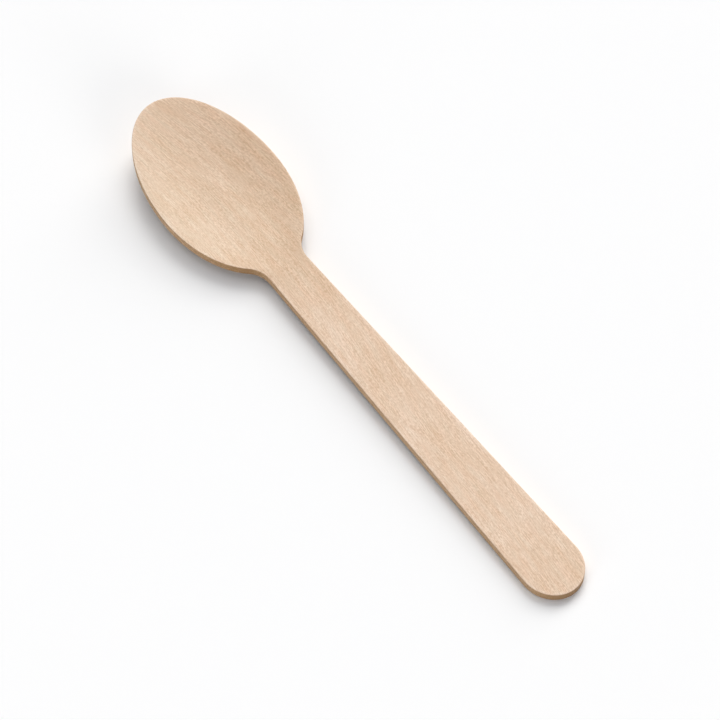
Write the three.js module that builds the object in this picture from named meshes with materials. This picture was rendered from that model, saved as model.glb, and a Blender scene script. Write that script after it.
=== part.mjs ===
// Disposable wooden spoon, stamped from one sheet of veneer and pressed.
// Millimetres. It is shaped along +X from the bowl's tip, with the handle's face at height 0,
// and is then laid down as it comes to rest on a table, on its bowl and its tail.

import * as THREE from 'three';
import { ParametricGeometry } from 'three/addons/geometries/ParametricGeometry.js';

// Driving dimensions of the stamped outline
const spoonLength = 160; // bowl tip to tail end
const bowlWidth = 32.1;
const tipToWidest = 27.9; // tip half of the bowl's oval
const widestToOvalEnd = 25.1; // handle half of the bowl's oval
const neckWidth = 10.7; // handle's width where the oval ends
const neckFilletRadius = 7;
const tailWidth = 14.6; // handle's width where its end starts to round
const tailRounding = 8.1; // length of the rounded end

// Driving dimensions of the pressed sheet
const sheetThickness = 2.2;
const edgeEase = 0.2; // radius of the sanded edges
const bowlDepth = 3.3; // rim down to the floor, at the widest section
const dishRunOut = 31; // widest section to where the dish ends in the neck
const tipLift = 4.5; // rise of the rim at the tip above the handle's face
const liftRun = 63.9; // tip to where that rise starts
const flatFloor = 0.15; // flat middle of the dish, as a share of the way to the rim
const steepestAt = 0.8; // where the dish is steepest, as a share of the way from there on

// Steps of the surface along each stretch of one half of the outline
const tipSteps = 20;
const ovalSteps = 16;
const filletSteps = 6;
const handleSteps = 8;
const tailSteps = 12;

// Steps of the surface from the spine to the edge, and round each eased edge
const faceSteps = 9;
const easeSteps = 3;

// Distances from each end to the spine, the middle line that the surface fans out from
const tipToSpine = 9;
const tailToSpine = 6;

// Half widths and places along the spoon that follow from the dimensions
const halfBowl = bowlWidth / 2;
const halfNeck = neckWidth / 2;
const halfTail = tailWidth / 2;
const ovalEnd = tipToWidest + widestToOvalEnd;
const tailStart = spoonLength - tailRounding;
const handleFlare = (halfTail - halfNeck) / (tailStart - ovalEnd);
const ease = Math.min(edgeEase, sheetThickness / 2);

// Fillet between oval and handle
const fillet = neckFillet();
const halfOutline = outlineSamples();

// Point on the handle half of the oval, with its outward normal
function ovalPoint(angle) {
  const point = new THREE.Vector2(
    tipToWidest + widestToOvalEnd * Math.cos(angle),
    halfBowl * Math.sin(angle),
  );
  const normal = new THREE.Vector2(
    Math.cos(angle) / widestToOvalEnd,
    Math.sin(angle) / halfBowl,
  ).normalize();
  return { point, normal };
}

// Half width of the handle between its straight, slightly flared edges
function handleHalfWidth(u) {
  return halfNeck + handleFlare * (u - ovalEnd);
}

// Circle that touches the oval and the handle's edge from outside. Its centre is a radius off the
// oval, and the angle on the oval is narrowed until it is a radius off the handle's edge too.
function neckFillet() {
  const edgeNormal = new THREE.Vector2(-handleFlare, 1).normalize();
  const centreAt = (angle) => {
    const { point, normal } = ovalPoint(angle);
    return point.addScaledVector(normal, neckFilletRadius);
  };
  let low = 0;
  let high = Math.PI / 2;
  for (let step = 0; step < 50; step += 1) {
    const middle = (low + high) / 2;
    const centre = centreAt(middle);
    const offEdge = (centre.y - handleHalfWidth(centre.x)) * edgeNormal.y;
    if (offEdge < neckFilletRadius) {
      low = middle;
    } else {
      high = middle;
    }
  }
  const centre = centreAt(low);
  const onOval = ovalPoint(low).point;
  const onEdge = centre.clone().addScaledVector(edgeNormal, -neckFilletRadius);
  return { angle: low, centre, onOval, onEdge };
}

// Half width of the sheet from the widest section to the tail
function halfWidthAt(u) {
  if (u < fillet.onOval.x) {
    return halfBowl * Math.sqrt(1 - ((u - tipToWidest) / widestToOvalEnd) ** 2);
  }
  if (u < fillet.onEdge.x) {
    return fillet.centre.y - Math.sqrt(neckFilletRadius ** 2 - (u - fillet.centre.x) ** 2);
  }
  return handleHalfWidth(u);
}

// One half of the outline as points with outward normals, from the tip to the tail
function outlineSamples() {
  const quarter = Math.PI / 2;
  const { centre, onOval, onEdge, angle } = fillet;
  const fromOval = Math.atan2(onOval.y - centre.y, onOval.x - centre.x);
  const toEdge = Math.atan2(onEdge.y - centre.y, onEdge.x - centre.x);
  const stretches = [
    [new THREE.EllipseCurve(tipToWidest, 0, tipToWidest, halfBowl, 2 * quarter, quarter, true), tipSteps],
    [new THREE.EllipseCurve(tipToWidest, 0, widestToOvalEnd, halfBowl, quarter, angle, true), ovalSteps],
    [new THREE.EllipseCurve(
      centre.x, centre.y, neckFilletRadius, neckFilletRadius, fromOval, toEdge, false,
    ), filletSteps],
    [new THREE.LineCurve(onEdge, new THREE.Vector2(tailStart, halfTail)), handleSteps],
    [new THREE.EllipseCurve(tailStart, 0, tailRounding, halfTail, quarter, 0, true), tailSteps],
  ];
  const samples = [];
  for (const [curve, steps] of stretches) {
    for (let step = 0; step < steps; step += 1) {
      const tangent = curve.getTangent(step / steps);
      const point = curve.getPoint(step / steps);
      samples.push({ point, normal: new THREE.Vector2(-tangent.y, tangent.x) });
    }
  }
  samples.push({
    point: new THREE.Vector2(spoonLength, 0),
    normal: new THREE.Vector2(1, 0),
  });
  return samples;
}

// Depth of the dish as a share of its full depth, 1 over its flat floor and 0 at the rim. Its slope
// follows a sine that peaks at steepestAt and eases off towards the rim.
function dish(reach) {
  const rimAngle = Math.PI / 2 / steepestAt;
  const lowest = Math.cos(rimAngle);
  const past = Math.max(0, Math.abs(reach) - flatFloor) / (1 - flatFloor);
  return (Math.cos(rimAngle * past) - lowest) / (1 - lowest);
}

// Height of the sheet's upper face above the handle's face. The rim rises towards the tip as a
// parabola, and the dish is sunk below it: an oval dish on the tip side, and on the handle side
// one that keeps the outline's width while its depth fades out as half a cosine wave.
function sheetHeight(u, v) {
  const rise = tipLift * Math.max(0, 1 - u / liftRun) ** 2;
  if (u < tipToWidest) {
    const reach = Math.hypot((u - tipToWidest) / tipToWidest, v / halfBowl);
    return rise - bowlDepth * dish(reach);
  }
  if (u < tipToWidest + dishRunOut) {
    const fade = (1 + Math.cos(Math.PI * (u - tipToWidest) / dishRunOut)) / 2;
    return rise - bowlDepth * fade * dish(v / halfWidthAt(u));
  }
  return rise;
}

// Point of the sheet straight below the upper face. The depth is measured square to the face, so it
// is longer by the slope's secant when taken upright, and the cut side stands upright.
function sheetPoint(u, v, depth) {
  const reach = 0.001;
  const slopeAlong = (sheetHeight(u + reach, v) - sheetHeight(u - reach, v)) / (2 * reach);
  const slopeAcross = (sheetHeight(u, v + reach) - sheetHeight(u, v - reach)) / (2 * reach);
  const secant = Math.hypot(slopeAlong, slopeAcross, 1);
  return new THREE.Vector3(u, v, sheetHeight(u, v) - depth * secant);
}

// Stations of the section: from the spine over the upper face, round the edge and back under it.
// reach goes from spine to edge, inset is in from the outline, and depth is under the upper face.
function sectionStations() {
  const half = [];
  for (let step = 0; step <= faceSteps; step += 1) {
    half.push({ reach: step / faceSteps, inset: ease, depth: 0 });
  }
  for (let step = 1; step <= easeSteps; step += 1) {
    const turn = Math.PI / 2 * step / easeSteps;
    half.push({ reach: 1, inset: ease * (1 - Math.sin(turn)), depth: ease * (1 - Math.cos(turn)) });
  }
  const under = half.map((station) => ({ ...station, depth: sheetThickness - station.depth }));
  return [...half, ...under.reverse()];
}

// The whole sheet as one closed surface: round the outline one way, along the section the other
function sheetGeometry() {
  const stations = sectionStations();
  const halfCount = halfOutline.length - 1;
  const around = 2 * halfCount;
  const spineScale = (spoonLength - tipToSpine - tailToSpine) / spoonLength;
  const pointAt = (s, t, target) => {
    const index = Math.round(s * around) % around;
    const side = index > halfCount ? -1 : 1;
    const { point, normal } = halfOutline[index > halfCount ? around - index : index];
    const { reach, inset, depth } = stations[Math.round(t * (stations.length - 1))];
    const edge = point.clone().addScaledVector(normal, -inset);
    const spine = new THREE.Vector2(tipToSpine + spineScale * point.x, 0);
    const plan = spine.lerp(edge, reach);
    target.copy(sheetPoint(plan.x, side * plan.y, depth));
  };
  return new ParametricGeometry(pointAt, around, stations.length - 1);
}

// Tilt about Y at which the lowest points of the bowl and of the handle are level
function restingTilt(geometry) {
  const place = geometry.getAttribute('position');
  let tilt = 0;
  for (let round = 0; round < 5; round += 1) {
    const lowest = [null, null];
    for (let index = 0; index < place.count; index += 1) {
      const point = new THREE.Vector3().fromBufferAttribute(place, index);
      const part = point.x < ovalEnd ? 0 : 1;
      point.applyAxisAngle(new THREE.Vector3(0, 1, 0), tilt);
      if (lowest[part] === null || point.z < lowest[part].z) {
        lowest[part] = point;
      }
    }
    tilt += Math.atan2(lowest[1].z - lowest[0].z, lowest[1].x - lowest[0].x);
  }
  return tilt;
}

// Pale veneer, matt and slightly warm
function veneerMaterial() {
  return new THREE.MeshStandardMaterial({ color: '#dfc3a7', roughness: 0.7, metalness: 0 });
}

const spoon = new THREE.Mesh(sheetGeometry(), veneerMaterial());
spoon.name = 'spoon';
spoon.rotation.y = restingTilt(spoon.geometry);

// The origin is under the middle of the spoon, on the table
const object = new THREE.Group();
object.add(spoon);
object.updateMatrixWorld(true);
const box = new THREE.Box3().setFromObject(object, true);
spoon.position.set(-(box.min.x + box.max.x) / 2, -(box.min.y + box.max.y) / 2, -box.min.z);

export default object;
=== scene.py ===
import math

import bpy
import numpy as np
from mathutils import Matrix, Vector


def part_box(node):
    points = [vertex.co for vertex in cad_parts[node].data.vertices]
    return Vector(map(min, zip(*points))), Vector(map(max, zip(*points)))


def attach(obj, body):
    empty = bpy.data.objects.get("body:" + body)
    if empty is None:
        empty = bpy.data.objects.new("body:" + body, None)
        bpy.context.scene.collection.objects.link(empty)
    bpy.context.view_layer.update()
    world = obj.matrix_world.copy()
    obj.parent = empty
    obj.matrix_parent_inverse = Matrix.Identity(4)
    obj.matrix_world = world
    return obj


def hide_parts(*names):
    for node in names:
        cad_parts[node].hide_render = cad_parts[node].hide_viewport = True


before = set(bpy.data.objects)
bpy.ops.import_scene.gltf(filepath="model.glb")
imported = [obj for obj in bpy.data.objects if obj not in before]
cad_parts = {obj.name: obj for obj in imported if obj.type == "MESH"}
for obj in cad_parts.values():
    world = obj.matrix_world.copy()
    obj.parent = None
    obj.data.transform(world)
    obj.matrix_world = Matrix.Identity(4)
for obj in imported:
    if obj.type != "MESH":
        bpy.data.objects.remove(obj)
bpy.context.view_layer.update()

print("frame loaded:", sorted(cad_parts))

# Spoon: one sheet of veneer, stamped and pressed. Millimetres, from the bowl's tip along +u.
spoonLook = {
    "length": 160.0,
    "bowlWidth": 32.1,
    "tipToWidest": 27.9,
    "widestToOvalEnd": 25.1,
    "neckWidth": 10.7,
    "neckFilletRadius": 7.0,
    "tailWidth": 14.6,
    "tailRounding": 8.1,
    "thickness": 2.2,
    "edgeEase": 0.2,
    "bowlDepth": 3.3,
    "dishRunOut": 31.0,
    "tipLift": 4.5,
    "liftRun": 63.9,
    "flatFloor": 0.15,  # share of the way from the dish's middle to its rim
    "steepestAt": 0.8,  # share of the way from the flat floor to the rim
    "tipToSpine": 9.0,  # the surface fans out from this middle line
    "tailToSpine": 6.0,
    "tipSteps": 90,  # steps round one half of the outline
    "ovalSteps": 70,
    "filletSteps": 26,
    "handleSteps": 70,
    "tailSteps": 44,
    "faceSteps": 40,  # steps from the spine to the edge
    "easeSteps": 6,
    "sideSteps": 6,
    "slopeStep": 0.001,
    "halvings": 50,  # of the angle at which the fillet leaves the oval
    "layingPasses": 5,
}

millimetre = 0.001


# A point on the handle half of the oval and its outward normal: an ellipse's cosine and sine,
# and for the normal the same two divided by the half axes, made one long.
def ovalPoint(angle, look):
    half = look["bowlWidth"] / 2
    along = look["widestToOvalEnd"]
    point = np.array([look["tipToWidest"] + along * math.cos(angle), half * math.sin(angle)])
    normal = np.array([math.cos(angle) / along, math.sin(angle) / half])
    return point, normal / np.linalg.norm(normal)


# Half width between the handle's edges: a straight line from the neck's width to the tail's.
def handleHalfWidth(u, look):
    ovalEnd = look["tipToWidest"] + look["widestToOvalEnd"]
    tailStart = look["length"] - look["tailRounding"]
    flare = (look["tailWidth"] - look["neckWidth"]) / 2 / (tailStart - ovalEnd)
    return look["neckWidth"] / 2 + flare * (u - ovalEnd), flare


# The circle that touches the oval and the handle's edge from outside: its centre is one radius off
# the oval, and the angle on the oval is halved down until it is one radius off the edge as well.
def neckFillet(look):
    radius = look["neckFilletRadius"]
    flare = handleHalfWidth(0.0, look)[1]
    edgeNormal = np.array([-flare, 1.0]) / math.hypot(flare, 1.0)
    low, high = 0.0, math.pi / 2
    for _ in range(look["halvings"]):
        middle = (low + high) / 2
        point, normal = ovalPoint(middle, look)
        centre = point + radius * normal
        offEdge = (centre[1] - handleHalfWidth(centre[0], look)[0]) * edgeNormal[1]
        low, high = (middle, high) if offEdge < radius else (low, middle)
    point, normal = ovalPoint(low, look)
    centre = point + radius * normal
    return {"angle": low, "centre": centre, "onOval": point, "onEdge": centre - radius * edgeNormal}


# Half width of the sheet from the widest section on: the oval, then the fillet's lower arc, then
# the handle's line.
def halfWidthAt(u, look, fillet):
    half = look["bowlWidth"] / 2
    oval = half * np.sqrt(np.clip(1 - ((u - look["tipToWidest"]) / look["widestToOvalEnd"]) ** 2, 0, 1))
    arc = look["neckFilletRadius"] ** 2 - (u - fillet["centre"][0]) ** 2
    arc = fillet["centre"][1] - np.sqrt(np.clip(arc, 0, None))
    edge = handleHalfWidth(u, look)[0]
    return np.where(u < fillet["onOval"][0], oval, np.where(u < fillet["onEdge"][0], arc, edge))


# Share of the dish's depth, 1 over the flat floor and 0 at the rim: a cosine of the way past the
# floor, whose slope peaks at steepestAt, shifted and scaled to end at 0.
def dishShare(reach, look):
    rimAngle = math.pi / 2 / look["steepestAt"]
    lowest = math.cos(rimAngle)
    past = np.clip(np.abs(reach) - look["flatFloor"], 0, None) / (1 - look["flatFloor"])
    return (np.cos(rimAngle * past) - lowest) / (1 - lowest)


# Height of the upper face above the handle's face: a parabola that rises to the tip, less the dish.
# The dish is an oval one up to the widest section, and from there on it keeps the outline's width
# while its depth fades out as half a cosine wave.
def sheetHeight(u, v, look, fillet):
    widest = look["tipToWidest"]
    rise = look["tipLift"] * np.clip(1 - u / look["liftRun"], 0, None) ** 2
    ovalReach = np.hypot((u - widest) / widest, v / (look["bowlWidth"] / 2))
    along = np.clip((u - widest) / look["dishRunOut"], 0, 1)
    fade = (1 + np.cos(math.pi * along)) / 2
    widthReach = v / halfWidthAt(np.clip(u, widest, None), look, fillet)
    share = np.where(u < widest, dishShare(ovalReach, look), fade * dishShare(widthReach, look))
    return rise - look["bowlDepth"] * share


# Slopes of the upper face along and across: the height's change over two small steps, over both
def faceSlopes(u, v, look, fillet):
    step = look["slopeStep"]
    along = sheetHeight(u + step, v, look, fillet) - sheetHeight(u - step, v, look, fillet)
    across = sheetHeight(u, v + step, look, fillet) - sheetHeight(u, v - step, look, fillet)
    return along / (2 * step), across / (2 * step)


# The outline's half from tip to tail as points and outward normals. Each stretch is an ellipse's
# arc (centre plus cosine and sine times the half axes) or a straight line.
def halfOutline(look, fillet):
    half = look["bowlWidth"] / 2
    widest = look["tipToWidest"]
    tailStart = look["length"] - look["tailRounding"]
    centre, radius = fillet["centre"], look["neckFilletRadius"]
    fromOval = math.atan2(*(fillet["onOval"] - centre)[::-1])
    toEdge = math.atan2(*(fillet["onEdge"] - centre)[::-1])

    def arc(middle, axes, start, end, steps, outward):
        angle = np.linspace(start, end, steps, endpoint=False)[:, None]
        circle = np.hstack([np.cos(angle), np.sin(angle)])
        normal = outward * circle / np.array(axes)
        return np.array(middle) + circle * np.array(axes), normal

    straight = np.linspace(0, 1, look["handleSteps"], endpoint=False)[:, None]
    tailCorner = np.array([tailStart, look["tailWidth"] / 2])
    run = tailCorner - fillet["onEdge"]
    edgePoints = fillet["onEdge"] + straight * run
    edgeNormals = np.repeat([[-run[1], run[0]]], look["handleSteps"], 0)
    stretches = [
        arc((widest, 0), (widest, half), math.pi, math.pi / 2, look["tipSteps"], 1),
        arc((widest, 0), (look["widestToOvalEnd"], half), math.pi / 2, fillet["angle"],
            look["ovalSteps"], 1),
        arc(centre, (radius, radius), fromOval, toEdge, look["filletSteps"], -1),
        (edgePoints, edgeNormals),
        arc((tailStart, 0), (look["tailRounding"], look["tailWidth"] / 2), math.pi / 2, 0.0,
            look["tailSteps"], 1),
        (np.array([[look["length"], 0.0]]), np.array([[1.0, 0.0]])),
    ]
    points = np.vstack([stretch[0] for stretch in stretches])
    normals = np.vstack([stretch[1] for stretch in stretches])
    return points, normals / np.linalg.norm(normals, axis=1)[:, None]


# Stations of the section, as reach from the spine, inset from the outline, depth under the upper
# face, and a mark that is 1 on the cut side. A quarter circle rounds each edge.
def sectionStations(look):
    ease, thickness = look["edgeEase"], look["thickness"]
    face = np.linspace(0, 1, look["faceSteps"] + 1)
    turn = np.linspace(0, math.pi / 2, look["easeSteps"] + 1)[1:]
    reach = np.concatenate([face, np.ones_like(turn)])
    inset = np.concatenate([np.full_like(face, ease), ease * (1 - np.sin(turn))])
    depth = np.concatenate([np.zeros_like(face), ease * (1 - np.cos(turn))])
    mark = np.concatenate([np.zeros_like(face), np.sin(turn)])
    down = np.linspace(ease, thickness - ease, look["sideSteps"] + 1)[1:-1]
    ones = np.ones_like(down)
    return np.array([
        np.concatenate([reach, ones, reach[::-1]]),
        np.concatenate([inset, 0 * ones, inset[::-1]]),
        np.concatenate([depth, down, thickness - depth[::-1]]),
        np.concatenate([mark, ones, mark[::-1]]),
    ])


# The sheet's points on a grid of outline samples by stations: a straight fan from the spine to the
# inset outline in plan, the height from sheetHeight, less the depth times the slope's secant, which
# keeps the sheet's thickness while its side stays upright. Each point also gets two marks for the
# finish: cutSide, and how many millimetres it lies in from the outline.
def sheetGrid(look):
    fillet = neckFillet(look)
    points, normals = halfOutline(look, fillet)
    flip = np.array([1.0, -1.0])
    points = np.vstack([points, (points * flip)[-2:0:-1]])
    normals = np.vstack([normals, (normals * flip)[-2:0:-1]])
    reach, inset, depth, mark = sectionStations(look)
    scale = (look["length"] - look["tipToSpine"] - look["tailToSpine"]) / look["length"]
    spine = np.stack([look["tipToSpine"] + scale * points[:, 0], 0 * points[:, 0]], 1)
    edge = points[:, None] - inset[None, :, None] * normals[:, None]
    plan = spine[:, None] + reach[None, :, None] * (edge - spine[:, None])
    u, v = plan[..., 0], plan[..., 1]
    slopeU, slopeV = faceSlopes(u, v, look, fillet)
    height = sheetHeight(u, v, look, fillet) - depth * np.sqrt(1 + slopeU ** 2 + slopeV ** 2)
    fromEdge = np.linalg.norm(points[:, None] - plan, axis=-1)
    marks = {"cutSide": np.broadcast_to(mark, u.shape), "fromEdge": fromEdge}
    return np.stack([u, v, height], -1), marks


# Lays the sheet down: turned about Y until the lowest points of bowl and handle are level, then
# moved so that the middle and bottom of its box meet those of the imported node.
def laidDown(grid, look, low, high):
    ovalEnd = look["tipToWidest"] + look["widestToOvalEnd"]
    flat = grid.reshape(-1, 3)
    bowl = flat[:, 0] < ovalEnd
    tilt = 0.0
    for _ in range(look["layingPasses"]):
        x = flat[:, 0] * math.cos(tilt) + flat[:, 2] * math.sin(tilt)
        z = flat[:, 2] * math.cos(tilt) - flat[:, 0] * math.sin(tilt)
        first = np.argmin(np.where(bowl, z, np.inf))
        second = np.argmin(np.where(bowl, np.inf, z))
        tilt += math.atan2(z[second] - z[first], x[second] - x[first])
    x = grid[..., 0] * math.cos(tilt) + grid[..., 2] * math.sin(tilt)
    z = grid[..., 2] * math.cos(tilt) - grid[..., 0] * math.sin(tilt)
    placed = np.stack([x, grid[..., 1], z], -1) * millimetre
    boxLow, boxHigh = placed.reshape(-1, 3).min(0), placed.reshape(-1, 3).max(0)
    shift = (np.array(low) + np.array(high) - boxLow - boxHigh) / 2
    shift[2] = low[2] - boxLow[2]
    return placed + shift


# A closed mesh of the grid's cells. The first and last stations lie on the spine, where each half's
# points meet those of the other half, so there both halves use the same vertices.
def gridMesh(name, grid, marks):
    around, across = grid.shape[:2]
    index = np.arange(around * across).reshape(around, across)
    mirror = (-np.arange(around)) % around
    lower = np.minimum(np.arange(around), mirror)
    index[:, 0] = index[lower, 0]
    index[:, -1] = index[lower, -1]
    following = np.roll(index, -1, 0)
    quads = np.stack([index[:, :-1], index[:, 1:], following[:, 1:], following[:, :-1]], -1)
    quads = quads.reshape(-1, 4)
    used, quads = np.unique(quads, return_inverse=True)
    quads = quads.reshape(-1, 4)
    mesh = bpy.data.meshes.new(name)
    mesh.vertices.add(len(used))
    mesh.vertices.foreach_set("co", grid.reshape(-1, 3)[used].ravel())
    mesh.loops.add(quads.size)
    mesh.loops.foreach_set("vertex_index", quads.ravel())
    mesh.polygons.add(len(quads))
    mesh.polygons.foreach_set("loop_start", np.arange(0, quads.size, 4))
    mesh.update(calc_edges=True)
    mesh.validate()
    mesh.shade_smooth()
    for mark, values in marks.items():
        layer = mesh.attributes.new(mark, "FLOAT", "POINT")
        layer.data.foreach_set("value", values.reshape(-1)[used].astype(np.float32))
    return mesh


# Finish of the veneer. A figure is noise stretched along the grain: its millimetres along and
# across, how far it is moved aside so that no two share their spots, and its detail. Its share is
# how much of the step between two colours it takes. Colours are linear.
veneerLook = {
    "grainAngle": 4.5,  # degrees from the spoon's length
    "tipBend": 4.95,  # how fast the grain turns over the bowl's tip, per metre
    "bendStart": -0.035,  # metres along the grain from the spoon's middle
    "wander": {"along": 45.0, "across": 22.0, "aside": 3.0, "detail": 1.0},
    "wanderWidth": 4.8,  # millimetres between the grain's farthest places to either side
    "contrast": (0.30, 0.70),  # the noise's values that are drawn out to 0 and 1
    "darkWood": (0.668, 0.456, 0.280),
    "paleWood": (0.880, 0.728, 0.603),
    "bands": {"along": 24.0, "across": 1.8, "aside": 23.0, "detail": 2.0, "share": 0.17},
    "patches": {"along": 16.0, "across": 7.0, "aside": 37.0, "detail": 2.0, "share": 0.22},
    "edgeRubAndHighlight": 0.16,  # how much nearer to paleWood the edge is: partly sanded wood, partly a painted highlight along the arris
    "rubAndHighlightReach": (0.9, 0.1),  # millimetres in from the edge where the paler edge and its painted highlight start and are full
    "streakDark": (0.872, 0.832, 0.780),  # what the fine grain multiplies the wood's colour by
    "streakPale": (1.128, 1.168, 1.220),
    "pores": {"along": 0.6, "across": 0.22, "aside": 0.0, "detail": 0.0, "share": 0.54},
    "streaks": {"along": 2.0, "across": 0.23, "aside": 5.0, "detail": 0.0, "share": 0.44},
    "fibres": {"along": 6.5, "across": 0.24, "aside": 11.0, "detail": 0.0, "share": 0.42},
    "clearness": {"along": 8.0, "across": 3.0, "aside": 79.0, "detail": 2.0, "share": 0.9},
    "flecks": {"along": 1.7, "across": 0.17, "aside": 51.0, "detail": 1.0, "share": 0.5},
    "fleckContrast": (0.60, 0.72),  # the same for the flecks
    "warmth": {"along": 6.0, "across": 1.5, "aside": 67.0, "detail": 3.0},
    "warmWood": (1.0, 0.935, 0.900),
    "coolPaintedShade": (0.950, 1.003, 1.035),  # painted light and shade: the bowl's +Y wall, turned from the lamps, is painted paler and warmer, its −Y wall darker and cooler; partly the wood's own warmer hue
    "warmPaintedLight": (1.090, 1.045, 0.990),
    "paintedLightAcross": (-0.018, 0.018),  # metres across the grain from the side painted darker and cooler to the side painted paler and warmer
    "paintedLightTowardsTip": (-0.052, 0.45),  # metres along where the middle is even, and its lean, by which the painted light is paler towards the tip
    "paintedLightFrom": (-0.016, -0.044),  # metres along the grain over which that difference comes in
    "sideWood": (0.91, 0.622, 0.370),
    "sideDark": (0.53, 0.320, 0.160),
    "speckle": {"along": 0.5, "across": 0.14, "aside": 5.0, "detail": 2.0, "share": 2.2},
    "layers": {"along": 9.0, "across": 0.5, "aside": 29.0, "detail": 1.0, "share": 1.2},
    "endGrain": 1.25,  # how much nearer to sideDark the cut across the grain is
    "endTint": (0.73, 0.72, 0.72),  # and what its colour is multiplied by
    "sideFrom": (0.45, 0.95),  # the cutSide marks between which the face gives way to the cut
    "neckTint": (0.940, 0.905, 0.857),  # the wood is a little browner around the neck
    "neckAt": (-0.031, 0.034),  # metres along the grain: middle and reach of that tint
    "roughness": 0.62,
    "poreShine": 0.35,  # how much less rough the palest of the pores' noise is than the darkest
    "specular": 0.32,
    "relief": 0.003,  # millimetres that the pores are deep
}

figureRoughness = 0.55  # how strong each finer step of a figure's detail is


# A node with its settings made and its inputs set or linked
def addNode(tree, kind, inputs, **settings):
    node = tree.nodes.new(kind)
    for name, value in settings.items():
        setattr(node, name, value)
    for name, value in inputs.items():
        if isinstance(value, bpy.types.NodeSocket):
            tree.links.new(value, node.inputs[name])
        else:
            node.inputs[name].default_value = value
    return node


# One step of arithmetic; MULTIPLY_ADD is first times second plus third
def mathNode(tree, operation, first, second=0.0, third=0.0):
    inputs = {0: first, 1: second, 2: third}
    return addNode(tree, "ShaderNodeMath", inputs, operation=operation).outputs[0]


# From the first colour to the second by the factor, or with MULTIPLY to their product
def blend(tree, factor, first, second, mode="MIX"):
    inputs = {"Factor": factor, "A": first, "B": second}
    node = addNode(tree, "ShaderNodeMix", {}, data_type="RGBA", blend_type=mode)
    for name, value in inputs.items():
        socket = next(s for s in node.inputs if s.name == name and s.enabled)
        if isinstance(value, bpy.types.NodeSocket):
            tree.links.new(value, socket)
        else:
            socket.default_value = value
    return next(s for s in node.outputs if s.enabled)


# Noise at the place divided by the figure's length and width, and moved aside
def figure(tree, place, shape):
    along, across = 1 / (shape["along"] * millimetre), 1 / (shape["across"] * millimetre)
    aside = shape["aside"]
    moved = addNode(tree, "ShaderNodeVectorMath",
                    {0: place, 1: (along, across, across), 2: (aside, aside, aside)},
                    operation="MULTIPLY_ADD")
    noise = addNode(tree, "ShaderNodeTexNoise", {
        "Vector": moved.outputs[0],
        "Scale": 1.0,
        "Detail": shape["detail"],
        "Roughness": figureRoughness,
    })
    return noise.outputs["Fac"]


# Straight from 0 to 1 between two values, and no further on either side
def sharpened(tree, value, start, end):
    inputs = {"Value": value, "From Min": start, "From Max": end}
    return addNode(tree, "ShaderNodeMapRange", inputs).outputs[0]


# Sum of the figures about their middle value, each times its share
def tone(tree, parts):
    total = 0.5
    for value, shape in parts:
        off = mathNode(tree, "SUBTRACT", value, 0.5)
        total = mathNode(tree, "MULTIPLY_ADD", off, shape["share"], total)
    return total


# Place in the sheet: turned to the grain, with the cross direction pushed by a slow wander and, over
# the tip, by the square of the way past bendStart. On the faces height plays no part, because the
# figure was in the sheet before it was pressed, and the underside shows another stretch of it.
def grainPlace(tree, look):
    place = addNode(tree, "ShaderNodeTexCoord", {})
    turned = addNode(tree, "ShaderNodeMapping", {
        "Vector": place.outputs["Object"],
        "Rotation": (0.0, 0.0, math.radians(look["grainAngle"])),
    })
    axes = addNode(tree, "ShaderNodeSeparateXYZ", {0: turned.outputs[0]})
    normal = addNode(tree, "ShaderNodeSeparateXYZ", {0: place.outputs["Normal"]})
    wander = mathNode(tree, "SUBTRACT", figure(tree, turned.outputs[0], look["wander"]), 0.5)
    wander = mathNode(tree, "MULTIPLY", wander, look["wanderWidth"] * millimetre)
    past = mathNode(tree, "SUBTRACT", axes.outputs[0], look["bendStart"])
    past = mathNode(tree, "MINIMUM", past, 0.0)
    bend = mathNode(tree, "MULTIPLY", mathNode(tree, "MULTIPLY", past, past), look["tipBend"])
    below = mathNode(tree, "LESS_THAN", normal.outputs[2], 0.0)
    across = mathNode(tree, "ADD", mathNode(tree, "ADD", axes.outputs[1], wander), bend)
    face = addNode(tree, "ShaderNodeCombineXYZ", {0: axes.outputs[0], 1: across, 2: below})
    return face.outputs[0], turned.outputs[0], normal.outputs[0]


# 1 at the neck and 0 past the tint's reach: the square of one less the squared share of the reach
def nearNeck(tree, place, look):
    middle, reach = look["neckAt"]
    axes = addNode(tree, "ShaderNodeSeparateXYZ", {0: place})
    away = mathNode(tree, "MULTIPLY", mathNode(tree, "SUBTRACT", axes.outputs[0], middle), 1 / reach)
    left = mathNode(tree, "SUBTRACT", 1.0, mathNode(tree, "MULTIPLY", away, away))
    left = mathNode(tree, "MAXIMUM", left, 0.0)
    return mathNode(tree, "MULTIPLY", left, left)


# Painted light and shade on the bowl, partly the wood's own hue: how much of it shows, straight over
# its stretch along the grain, and its tint:
# straight from the −Y wall's colour, painted darker and cooler, to the +Y wall's, painted paler and
# warmer, across the grain, at the place across plus the lean times the way along from its even middle
def paintedBowlLight(tree, place, look):
    axes = addNode(tree, "ShaderNodeSeparateXYZ", {0: place})
    middle, lean = look["paintedLightTowardsTip"]
    along = mathNode(tree, "MULTIPLY", mathNode(tree, "SUBTRACT", middle, axes.outputs[0]), lean)
    sideways = sharpened(tree, mathNode(tree, "ADD", axes.outputs[1], along), *look["paintedLightAcross"])
    tint = blend(tree, sideways, (*look["coolPaintedShade"], 1), (*look["warmPaintedLight"], 1))
    return sharpened(tree, axes.outputs[0], *look["paintedLightFrom"]), tint


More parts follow.
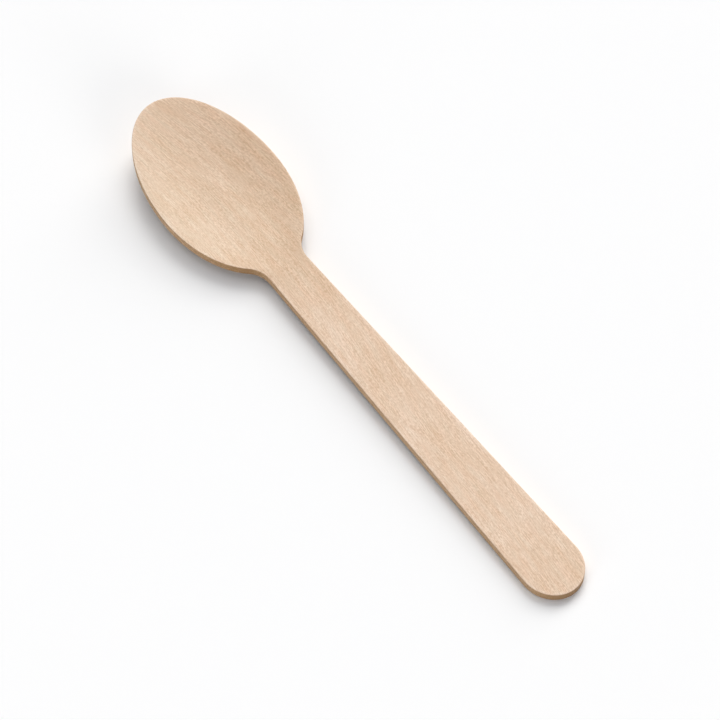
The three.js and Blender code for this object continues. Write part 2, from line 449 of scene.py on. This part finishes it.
# The fine grain, 0.5 where it is even: pores, streaks and fibres about their middle, times a slow
# clearness about one, less the flecks
def fineGrain(tree, face, pores, look):
    streaks = sharpened(tree, figure(tree, face, look["streaks"]), *look["contrast"])
    fibres = sharpened(tree, figure(tree, face, look["fibres"]), *look["contrast"])
    fine = tone(tree, [(pores, look["pores"]), (streaks, look["streaks"]), (fibres, look["fibres"])])
    clearness = sharpened(tree, figure(tree, face, look["clearness"]), *look["contrast"])
    share = look["clearness"]["share"]
    clearness = mathNode(tree, "MULTIPLY_ADD", clearness, share, 1 - share / 2)
    fine = mathNode(tree, "MULTIPLY", mathNode(tree, "SUBTRACT", fine, 0.5), clearness)
    flecks = sharpened(tree, figure(tree, face, look["flecks"]), *look["fleckContrast"])
    fine = mathNode(tree, "ADD", fine, 0.5)
    return mathNode(tree, "MULTIPLY_ADD", flecks, -look["flecks"]["share"], fine)


# Colour of the upper and lower face: from dark to pale wood by bands, patches and the paler edge,
# partly sanded wood and partly a painted highlight, times the fine grain's colour, the warmer patches
# and the bowl's painted light and shade
def faceColour(tree, face, solid, pores, look):
    bands = sharpened(tree, figure(tree, face, look["bands"]), *look["contrast"])
    patches = sharpened(tree, figure(tree, face, look["patches"]), *look["contrast"])
    mixed = tone(tree, [(bands, look["bands"]), (patches, look["patches"])])
    fromEdge = addNode(tree, "ShaderNodeAttribute", {}, attribute_name="fromEdge").outputs["Fac"]
    # the paler edge: partly sanded wood, partly a painted highlight along the arris
    rubAndHighlight = sharpened(tree, fromEdge, *look["rubAndHighlightReach"])
    mixed = mathNode(tree, "MULTIPLY_ADD", rubAndHighlight, look["edgeRubAndHighlight"], mixed)
    wood = blend(tree, mixed, (*look["darkWood"], 1), (*look["paleWood"], 1))
    fine = fineGrain(tree, face, pores, look)
    streak = blend(tree, fine, (*look["streakDark"], 1), (*look["streakPale"], 1))
    wood = blend(tree, 1.0, wood, streak, "MULTIPLY")
    warmth = sharpened(tree, figure(tree, face, look["warmth"]), *look["contrast"])
    wood = blend(tree, warmth, wood, (*look["warmWood"], 1), "MULTIPLY")
    # painted light and shade across the bowl: +Y wall paler, −Y wall darker, tip paler; partly the
    # wood's own hue
    onBowl, tint = paintedBowlLight(tree, solid, look)
    return blend(tree, onBowl, wood, tint, "MULTIPLY")


# Colour of the cut side: from dark to pale by speckle and layers, and darker by the squared share
# with which the cut faces along the grain
def cutColour(tree, solid, endFacing, look):
    speckle = figure(tree, solid, look["speckle"])
    layers = figure(tree, solid, look["layers"])
    cutTone = tone(tree, [(speckle, look["speckle"]), (layers, look["layers"])])
    acrossGrain = mathNode(tree, "MULTIPLY", endFacing, endFacing)
    cutTone = mathNode(tree, "MULTIPLY_ADD", acrossGrain, -look["endGrain"], cutTone)
    cut = blend(tree, cutTone, (*look["sideDark"], 1), (*look["sideWood"], 1))
    return blend(tree, acrossGrain, cut, (*look["endTint"], 1), "MULTIPLY")


# Face and cut side by the cutSide mark, both times the neck's tint. The pores' noise also changes
# the roughness and dents the surface.
def veneerMaterial(look):
    material = bpy.data.materials.new("birchVeneer")
    material.use_nodes = True
    tree = material.node_tree
    shader = tree.nodes["Principled BSDF"]
    face, solid, endFacing = grainPlace(tree, look)
    pores = sharpened(tree, figure(tree, face, look["pores"]), *look["contrast"])
    wood = faceColour(tree, face, solid, pores, look)
    cut = cutColour(tree, solid, endFacing, look)
    cutSide = addNode(tree, "ShaderNodeAttribute", {}, attribute_name="cutSide").outputs["Fac"]
    colour = blend(tree, sharpened(tree, cutSide, *look["sideFrom"]), wood, cut)
    atNeck = nearNeck(tree, solid, look)
    colour = blend(tree, atNeck, colour, (*look["neckTint"], 1), "MULTIPLY")
    tree.links.new(colour, shader.inputs["Base Color"])

    offMiddle = mathNode(tree, "SUBTRACT", pores, 0.5)
    rough = mathNode(tree, "MULTIPLY_ADD", offMiddle, -look["poreShine"], look["roughness"])
    tree.links.new(rough, shader.inputs["Roughness"])
    shader.inputs["Specular IOR Level"].default_value = look["specular"]
    bump = addNode(tree, "ShaderNodeBump", {
        "Strength": 1.0,
        "Distance": look["relief"] * millimetre,
        "Height": pores,
    })
    tree.links.new(bump.outputs[0], shader.inputs["Normal"])
    return material


low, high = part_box("spoon")
grid, marks = sheetGrid(spoonLook)
spoonMesh = gridMesh("pressedSpoon", laidDown(grid, spoonLook, low, high), marks)
spoonMesh.materials.append(veneerMaterial(veneerLook))
pressedSpoon = bpy.data.objects.new("pressedSpoon", spoonMesh)
bpy.context.scene.collection.objects.link(pressedSpoon)
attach(pressedSpoon, "root")
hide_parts("spoon")
print("spoon made:", len(spoonMesh.vertices), "vertices,", len(spoonMesh.polygons), "faces")

# Floor: a plain white ground
floorLook = {
    "size": 6.0,  # metres
    "colour": (0.992, 0.992, 0.996),
    "giveBack": (0.70, 0.70, 0.71),  # its colour to the light that it throws back at the spoon
}


# A square of four corners about the origin, with one colour for the camera and a darker one for
# every other ray
def whiteFloor(look):
    half = look["size"] / 2
    corners = [(-half, -half, 0), (half, -half, 0), (half, half, 0), (-half, half, 0)]
    mesh = bpy.data.meshes.new("floor")
    mesh.from_pydata(corners, [], [(0, 1, 2, 3)])
    floor = bpy.data.objects.new("floor", mesh)
    bpy.context.scene.collection.objects.link(floor)
    material = bpy.data.materials.new("whiteFloor")
    material.use_nodes = True
    shader = material.node_tree.nodes["Principled BSDF"]
    tree = material.node_tree
    seen = addNode(tree, "ShaderNodeLightPath", {}).outputs["Is Camera Ray"]
    colour = blend(tree, seen, (*look["giveBack"], 1), (*look["colour"], 1))
    tree.links.new(colour, shader.inputs["Base Color"])
    shader.inputs["Roughness"].default_value = 1
    shader.inputs["Specular IOR Level"].default_value = 0
    mesh.materials.append(material)
    return floor


whiteFloor(floorLook)
print("floor made")

# Light: an even, slightly cool world and soft lamps far off. Each lamp has the share of the floor's
# light that it gives, and all shares with the world's add up to about one. Angles are in degrees.
lightLook = {
    "world": 0.16,
    "worldColour": (0.87, 1.0, 1.20),  # the fill is a little cooler than the lamps
    "lampColour": (1.025, 1.0, 0.962),
    "lamps": [
        {"name": "keyLamp", "azimuth": 134.0, "elevation": 40.0, "softness": 40.0, "share": 0.355},
        {"name": "lowLamp", "azimuth": 108.0, "elevation": 18.0, "softness": 28.0, "share": 0.095},
        {"name": "topLamp", "azimuth": 170.0, "elevation": 64.0, "softness": 60.0, "share": 0.275},
        {"name": "sideLamp", "azimuth": 1.0, "elevation": 15.0, "softness": 30.0, "share": 0.07},
        {"name": "frontLamp", "azimuth": 280.0, "elevation": 16.0, "softness": 24.0, "share": 0.04},
    ],
}


# A far lamp lights the floor with its strength times the sine of its elevation over pi, so its
# strength is pi times the share over that sine.
def farLamp(look, colour):
    azimuth, elevation = math.radians(look["azimuth"]), math.radians(look["elevation"])
    towards = Vector((
        math.cos(azimuth) * math.cos(elevation),
        math.sin(azimuth) * math.cos(elevation),
        math.sin(elevation),
    ))
    lamp = bpy.data.lights.new(look["name"], "SUN")
    lamp.color = colour
    lamp.angle = math.radians(look["softness"])
    lamp.energy = math.pi * look["share"] / math.sin(elevation)
    holder = bpy.data.objects.new(look["name"], lamp)
    holder.location = towards
    holder.rotation_euler = towards.to_track_quat("Z", "Y").to_euler()
    bpy.context.scene.collection.objects.link(holder)


# One colour from all sides, whose strength is also its share of the floor's light
def evenWorld(strength, colour):
    world = bpy.data.worlds.new("evenWorld")
    world.use_nodes = True
    background = world.node_tree.nodes["Background"]
    background.inputs["Color"].default_value = (*colour, 1)
    background.inputs["Strength"].default_value = strength
    bpy.context.scene.world = world


evenWorld(lightLook["world"], lightLook["worldColour"])
for lampLook in lightLook["lamps"]:
    farLamp(lampLook, lightLook["lampColour"])
print("light made")

# Camera: the photograph's viewing angle, from far off through a long lens
cameraLook = {
    "azimuth": 52.931,
    "elevation": 57.62,
    "distance": 0.68464,
    "target": (0.004914, -0.001689, 0.003),
    "focalPixels": 3000.0,
    "imagePixels": 720.0,
    "sensorWidth": 36.0,  # millimetres
    "nearest": 0.01,  # metres from the lens to the nearest thing that it sees
}


# The camera stands back from its target along the direction that azimuth and elevation give, with
# its right side level, so its three axes are the right, up and back directions.
def photoCamera(look):
    azimuth, elevation = math.radians(look["azimuth"]), math.radians(look["elevation"])
    back = Vector((
        math.sin(azimuth) * math.cos(elevation),
        -math.cos(azimuth) * math.cos(elevation),
        math.sin(elevation),
    ))
    right = Vector((math.cos(azimuth), math.sin(azimuth), 0))
    up = back.cross(right)
    lens = bpy.data.cameras.new("photoCamera")
    lens.sensor_width = look["sensorWidth"]
    lens.lens = look["focalPixels"] / look["imagePixels"] * lens.sensor_width
    lens.clip_start = look["nearest"]
    camera = bpy.data.objects.new("photoCamera", lens)
    place = Vector(look["target"]) + look["distance"] * back
    camera.matrix_world = Matrix.Translation(place) @ Matrix((right, up, back)).transposed().to_4x4()
    bpy.context.scene.collection.objects.link(camera)
    bpy.context.scene.camera = camera


photoCamera(cameraLook)
bpy.context.scene.view_settings.view_transform = "Standard"
print("camera made")

bpy.context.view_layer.update()
